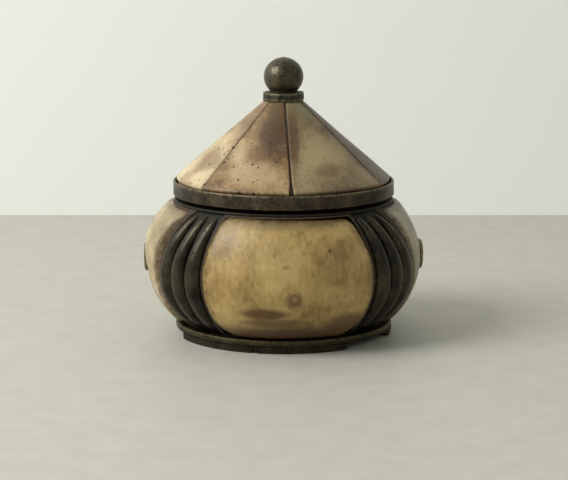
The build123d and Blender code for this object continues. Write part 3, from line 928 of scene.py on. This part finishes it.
UPRIGHT_GRAIN = (0.9, 0.9, 0.42)
# The wide dark band low at the panel's foot and the dark patch at its lower right are painted shade, where
# the bulge turns down and to the right, away from the lamp. The other patches are the bone's own stains and
# paler spots.
FRONT_STAINS_AND_PAINTED_SHADE = [
    ((-5.5, -31, 10.9), (8.0, 12, 1.9), "#5a3c18", 0.95),
    ((-4.0, -31, 8.6), (10.0, 12, 1.6), "#5f421e", 0.75),
    ((1.2, -34, 14.4), (3.0, 6, 2.8), "#66491f", 0.9),
    ((1.2, -34, 15.0), (1.1, 6, 1.0), "#a08a5c", 0.55),
    ((-0.8, -34, 22.5), (1.3, 5, 0.7), "#6b4f28", 0.75),
    ((0.0, -27, 3.2), (26.0, 14, 7.0), "#482d10", 0.95),
    ((14.0, -28, 7.5), (8.0, 12, 4.2), "#4f3413", 0.8),
    ((9.7, -32.6, 26.0), (0.6, 5, 0.6), "#4a3418", 1.0),
    ((0.0, -30, 34.0), (26.0, 12, 5.0), "#6f5c36", 0.75),
    ((-3.0, -33, 24.0), (9.0, 8, 6.0), "#b59d66", 0.4),
]
bones = {
    "panel_front": bone("ochre_waxed_bone", ("#836936", "#a88c52", "#bda267"), 1.0, UPRIGHT_GRAIN, 0.25, 0.85,
                        FRONT_STAINS_AND_PAINTED_SHADE),
    "panel_right": bone("grey_waxed_bone", ("#746a54", "#968b72", "#aca186"), 2.0, UPRIGHT_GRAIN, 0.4, 0.8),
    # The back panel's wide dark band at its foot is painted shade, as on the front.
    "panel_back": bone("cream_waxed_bone", ("#94804f", "#b59c66", "#cbb682"), 3.0, UPRIGHT_GRAIN, 0.3, 0.8,
                       [((5.0, 32, 10.0), (9.0, 9, 3.0), "#6b4c22", 0.6),
                        ((0.0, 30, 4.0), (24.0, 12, 3.2), "#55391a", 0.75)]),
    "panel_left": bone("pinkish_waxed_bone", ("#80704f", "#a38f6c", "#c4b392"), 4.0, UPRIGHT_GRAIN, 0.45,
                       0.7),
}
# Each wedge has its own bone tone, but the tones also carry painted light and shade: the left wedge, which
# faces the lamp, is painted lightest, and the wedge on the right darkest.
wedge_tones_with_painted_shading = [
    ("#543c20", "#86693f", "#ab906a"), ("#5e4d32", "#826f4d", "#9a8761"), ("#3e3220", "#57482e", "#6f5d3f"),
    ("#7a6642", "#a08a5c", "#baa678"), ("#7f6b4a", "#a0895f", "#b5a078"), ("#80694a", "#a8905f", "#c6b38b"),
    ("#8c7352", "#b0976f", "#d0bd97"),
]
# The two pale patches on the left part of the front-left wedge (entry 0) are painted light, where that part
# turns towards the lamp; the other patches are stains.
wedge_stains_and_painted_light = {
    0: [
        ((-3.2, -11, 50.5), (5.5, 9, 7.5), "#452d14", 0.9),
        ((-1.5, -7, 56.5), (4.0, 6, 4.0), "#4d381c", 0.8),
        ((-7.0, -15, 46.5), (3.0, 6, 3.0), "#5d4223", 0.6),
        ((-8.0, -21, 42.5), (9.0, 8, 4.0), "#b9a27a", 0.5),
        ((-11.5, -12, 49.0), (2.2, 8, 9.0), "#bfa980", 0.45),
    ],
    1: [
        ((4.5, -5, 57.0), (6.0, 6, 5.0), "#6f6f4c", 0.5),
        ((10.2, -19.5, 43.5), (5.0, 6, 2.2), "#5d4827", 0.6),
        ((2.0, -14, 50.0), (1.6, 14, 14.0), "#54391f", 0.7),
        ((7.0, -16, 46.5), (5.0, 8, 5.0), "#a39169", 0.4),
    ],
    6: [
        ((-18.0, -8, 44.0), (5.0, 8, 5.5), "#6b4d30", 0.6),
        ((-8.0, -4, 55.0), (6.0, 8, 5.0), "#6d5232", 0.7),
        ((-20.0, -14, 40.5), (7.0, 7, 3.0), "#d2bf98", 0.6),
    ],
}
OPEN_PORES, CLOSED_PORES = {0: 2.6, 6: 1.6}, 0.5
WEDGE_GRAIN = (1.6, 1.6, 0.35)
WEDGE_GRIME = 0.45
for index in range(seam_count):
    pores = OPEN_PORES.get(index, CLOSED_PORES)
    bones[f"wedge_{index + 1}"] = bone(f"lid_bone_{index + 1}", wedge_tones_with_painted_shading[index], 20.0 + index,
                                       WEDGE_GRAIN, pores, WEDGE_GRIME, wedge_stains_and_painted_light.get(index, ()))
print("bone finishes", len(bones))

# %% [markdown]
# ## Finishes onto pieces
# Modelled pieces take their own finish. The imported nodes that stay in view, such as the lac, the
# corner plates and the inside of the vessel, keep their shape and only change material.

# %% Dress the pieces


def dress(piece, material):
    """Gives a piece one material."""
    piece.data.materials.clear()
    piece.data.materials.append(material)


run_tree(ribs, rib_tree, {"Dent depth": DENT_DEPTH, "Seed": DENT_SEED, "Finish": brass["ribs"]})
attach(ribs, "pot")
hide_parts(*[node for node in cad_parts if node.startswith("rib_")])
run_tree(feet, foot_tree, {"Count": FOOT_COUNT, "Finish": brass["foot"]})
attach(feet, "pot")
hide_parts(*[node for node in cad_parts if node.startswith("foot_")])

for side, piece in panels.items():
    dress(piece, bones[f"panel_{side}"])
for piece in wedges:
    dress(piece, bones[piece.name])
turned_finish = {"disc": "foot", "neck": "plates", "rim": "rim", "collar": "collar", "ball": "ball"}
STUD_FINISH = "ribs"
for piece in turned_pieces:
    dress(piece, brass[turned_finish.get(piece.name, STUD_FINISH)])

kept_finish = {"ink_vessel": brass["vessel"], "lid_seat": brass["vessel"], "lid_floor": brass["vessel"],
               "lid_flange": brass["vessel"], "finial_rove": brass["vessel"], "lid_core": lac}
for node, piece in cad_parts.items():
    if node.startswith("corner_plate"):
        dress(piece, brass["plates"])
    elif node.startswith("lac_bed"):
        dress(piece, lac)
    elif node in kept_finish:
        dress(piece, kept_finish[node])
print("dressed", len(bpy.data.materials), "materials")
